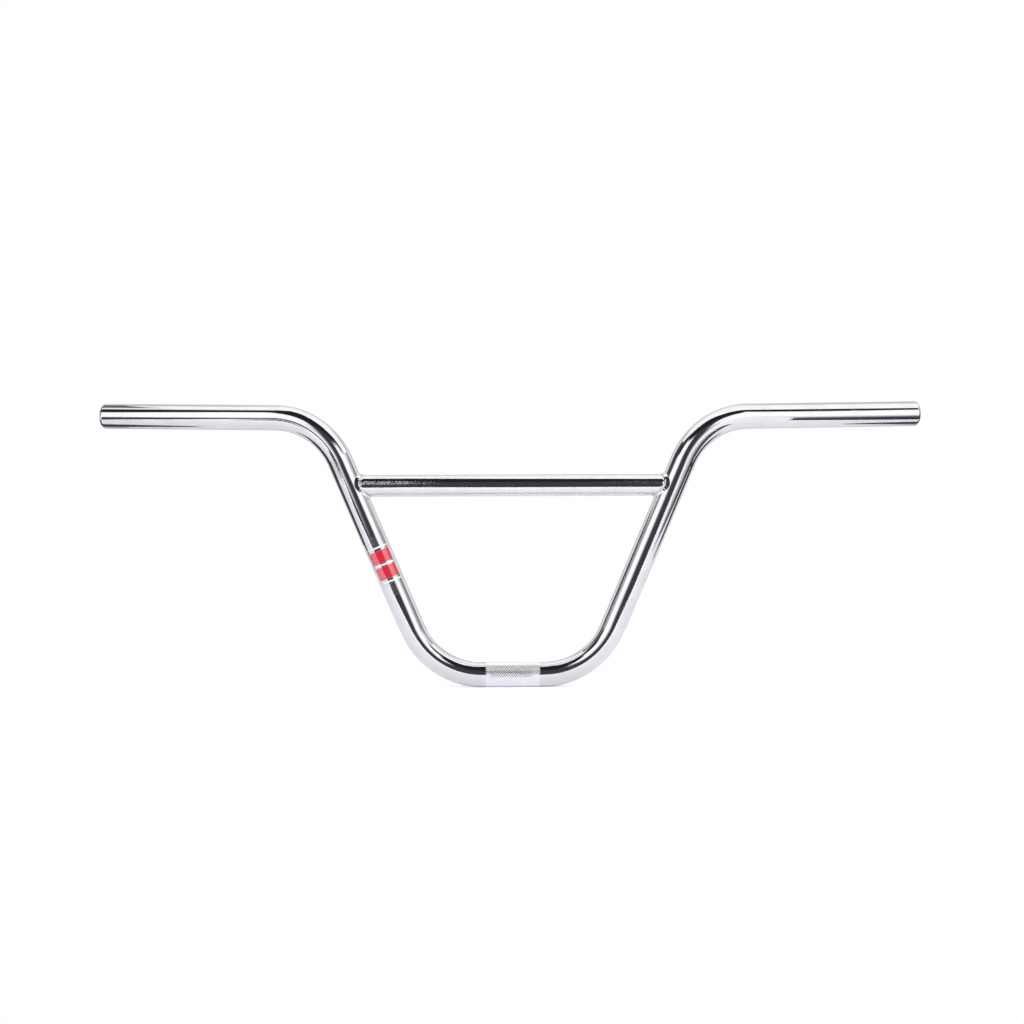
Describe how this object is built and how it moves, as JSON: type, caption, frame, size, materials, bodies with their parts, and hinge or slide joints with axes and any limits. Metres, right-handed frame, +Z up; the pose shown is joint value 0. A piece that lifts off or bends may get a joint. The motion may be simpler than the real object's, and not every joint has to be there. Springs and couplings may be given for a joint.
{
  "type": "bmx handlebar",
  "caption": "Chrome-plated steel handlebar for a freestyle bicycle: a bent tube with tall slanted legs, swept-back grips, a knurled clamp and a welded crossbar.",
  "frame": {"origin": "middle of the stem clamp, on the tube's axis", "axes": "+X along the clamp axis, +Z up the legs, -Y to the front of the bar, with the grips swept back to +Y"},
  "size_m": [0.741, 0.0645, 0.2542],
  "materials": {
    "chrome": "polished chrome plate",
    "decal": "printed clear film"
  },
  "bodies": {
    "root": {"main_tube": "chrome", "crossbar": "chrome", "weld_beads": "chrome", "decal_film": "decal"}
  },
  "joints": []
}
